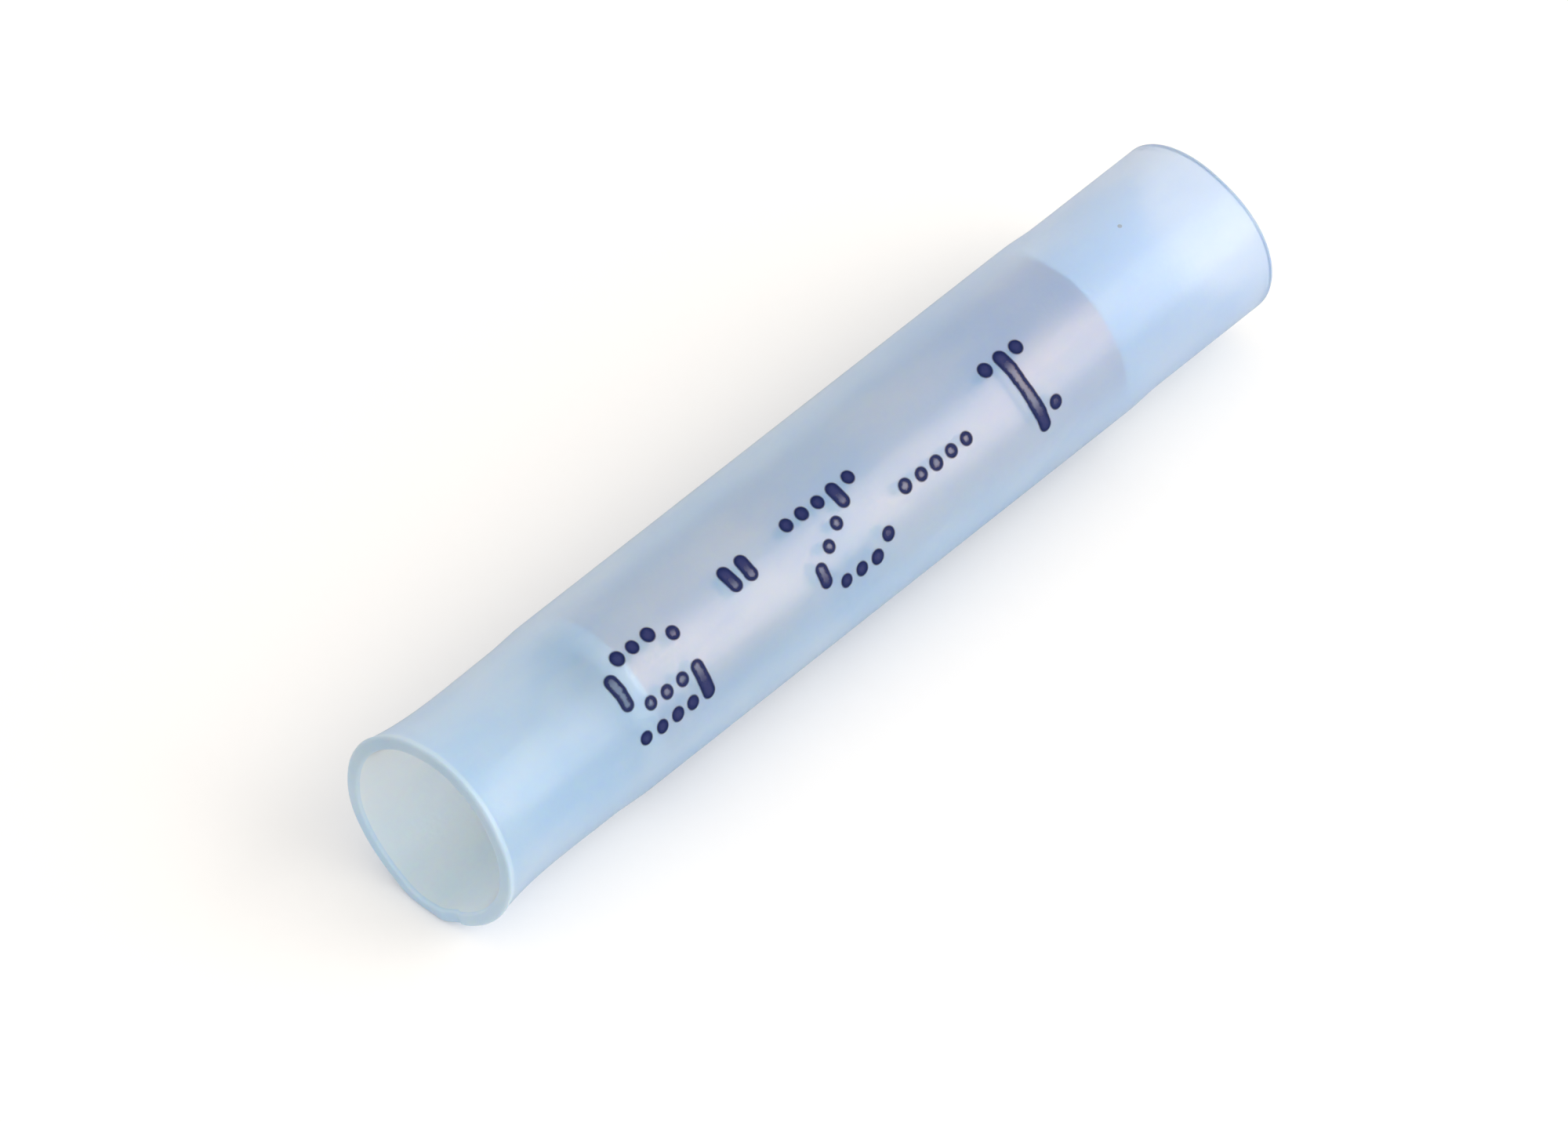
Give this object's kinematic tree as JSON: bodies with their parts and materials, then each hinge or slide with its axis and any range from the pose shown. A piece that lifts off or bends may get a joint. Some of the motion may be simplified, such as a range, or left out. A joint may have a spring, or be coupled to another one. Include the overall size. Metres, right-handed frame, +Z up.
{
  "type": "butt splice connector",
  "caption": "Butt splice for joining two wires end to end: a tinned crimp barrel with a wire stop, inside a translucent blue nylon sleeve that is open at both ends.",
  "frame": {"origin": "middle of the connector's length, on the axis of the tube", "axes": "+X along the tube from its belled mouth to its straight mouth, +Z up as it lies on its side"},
  "size_m": [0.026, 0.0052, 0.0051],
  "materials": {
    "nylon": "satin",
    "tinned_metal": "satin"
  },
  "bodies": {
    "root": {"insulation_sleeve": "nylon", "crimp_barrel": "tinned_metal"}
  },
  "joints": []
}
